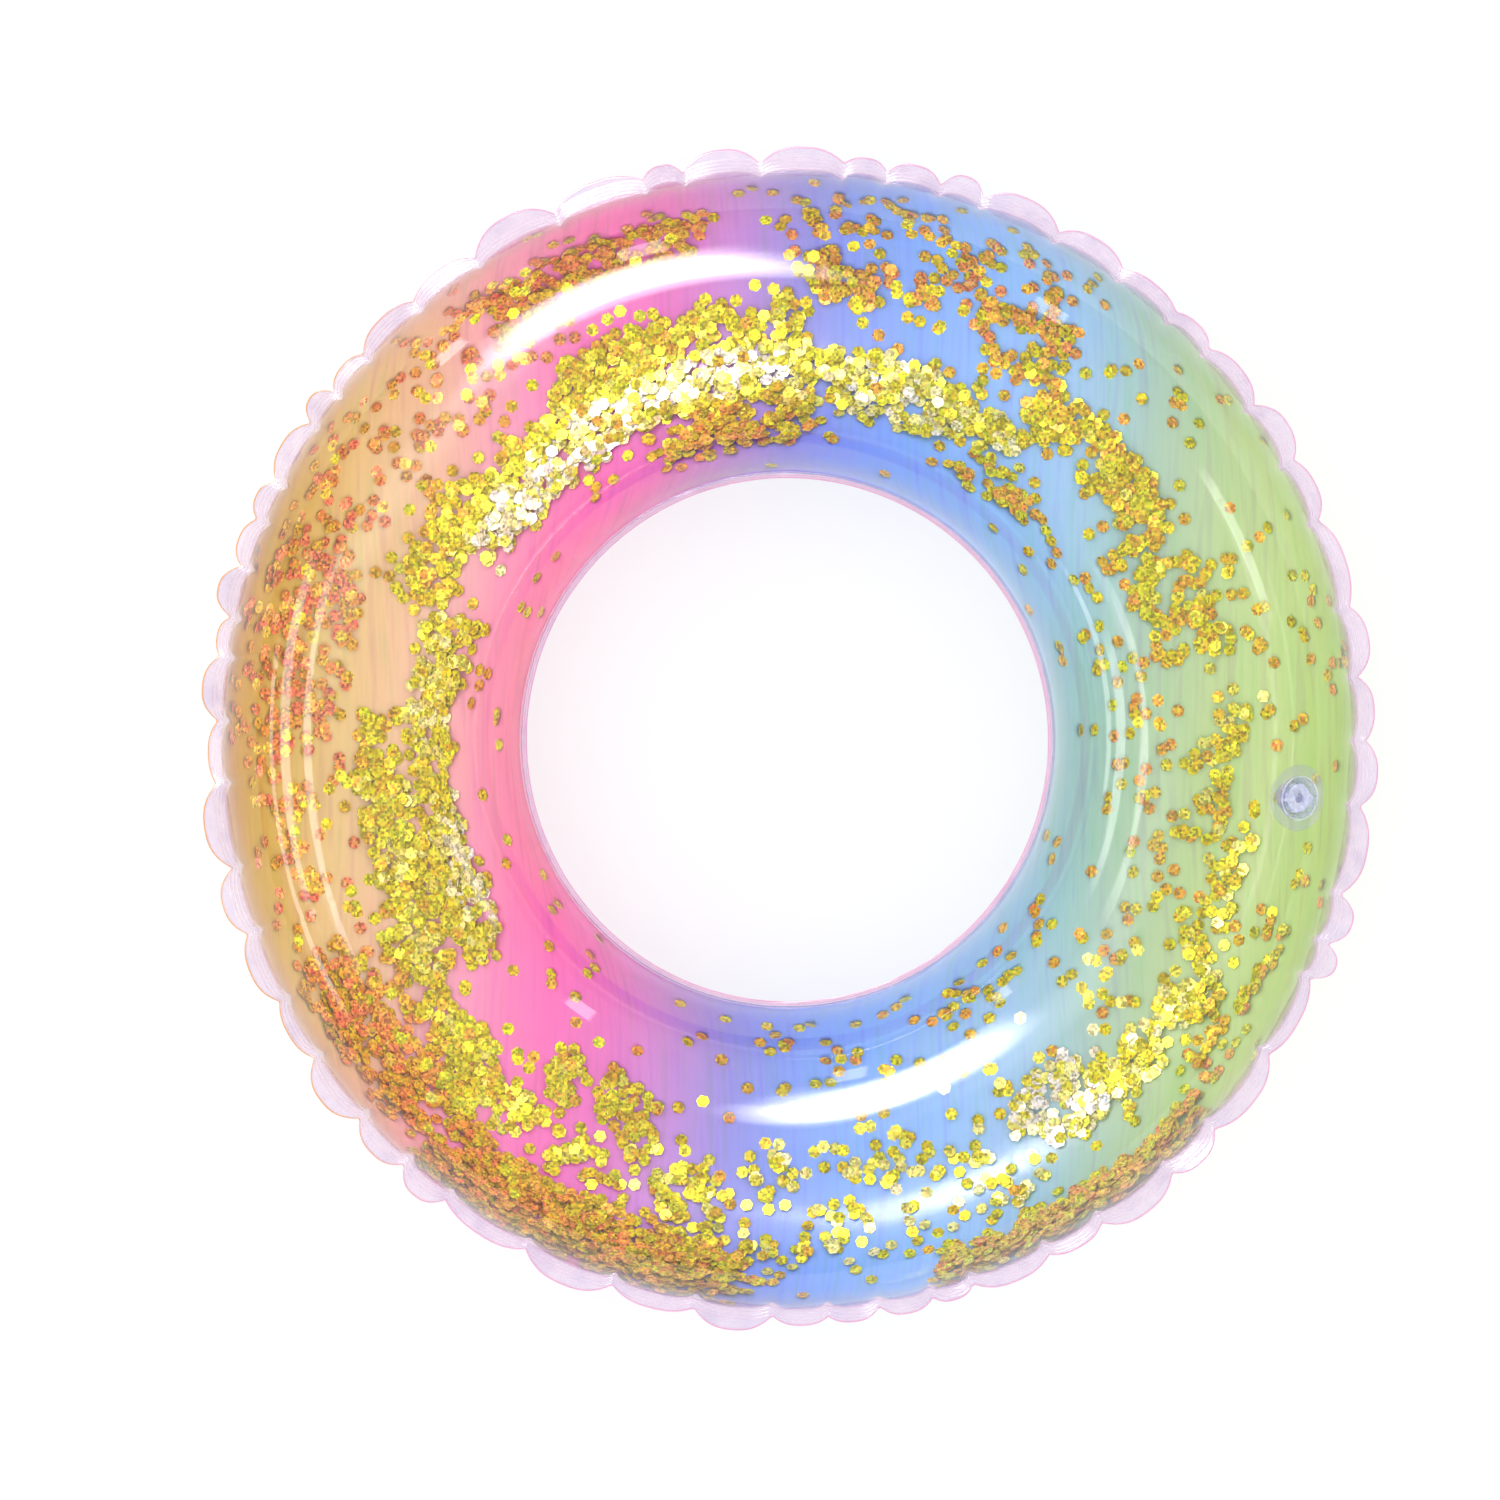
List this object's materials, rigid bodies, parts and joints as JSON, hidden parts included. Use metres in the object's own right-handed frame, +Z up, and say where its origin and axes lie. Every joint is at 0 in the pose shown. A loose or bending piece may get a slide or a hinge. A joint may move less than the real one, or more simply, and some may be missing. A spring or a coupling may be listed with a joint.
{
  "type": "inflatable pool float",
  "caption": "Inflatable swim ring with a clear upper film, a printed lower film, a scalloped welded rim, loose foil flakes inside and a push-in air valve.",
  "frame": {"origin": "centre of the ring's hole, on the plane the ring lies on", "axes": "+Z up through the hole, clear film upwards; +X and +Y across the ring, with the valve just below +X"},
  "size_m": [0.6386, 0.6395, 0.15],
  "materials": {
    "clear_film": "clear glossy plasticised PVC film, 0.4 mm",
    "printed_film": "glossy PVC film printed on the inside with a pearly gradient of soft colours",
    "welded_seam": "two PVC films pressed and welded flat, with fine parallel weld lines",
    "valve_pvc": "clear soft moulded PVC with a faint blue tint",
    "flake_foil": "gold holographic polyester foil flakes"
  },
  "bodies": {
    "ring": {"upper_skin": "clear_film", "lower_skin": "printed_film", "outer_seam": "welded_seam", "inner_seam": "welded_seam", "valve_flange": "valve_pvc", "valve_skirt": "valve_pvc", "sequins_lower": "flake_foil", "sequins_upper": "flake_foil"},
    "valve_stem": {"stem_tube": "valve_pvc", "strap_anchor": "valve_pvc"},
    "valve_plug": {"plug_cap": "valve_pvc", "plug_strap": "valve_pvc", "pull_tab": "valve_pvc"},
    "valve_flap": {"check_flap": "valve_pvc"}
  },
  "joints": [
    {"name": "valve_stem_slide", "type": "slide", "parent": "ring", "child": "valve_stem", "axis": [0.6498, -0.0683, 0.7571], "range_m": [0, 0.018], "deforming": ["valve_skirt"]},
    {"name": "plug_hinge", "type": "hinge", "parent": "valve_stem", "child": "valve_plug", "pos_m": [0.27179, -0.02857, 0.13546], "axis": [-0.1045, -0.9945, 0], "range_deg": [0, 85]},
    {"name": "flap_hinge", "type": "hinge", "parent": "valve_stem", "child": "valve_flap", "pos_m": [0.26841, -0.02821, 0.12724], "axis": [0.1045, 0.9945, 0], "range_deg": [0, 40], "stiffness_Nm_per_rad": 0.0004, "springref_deg": -11.46}
  ]
}
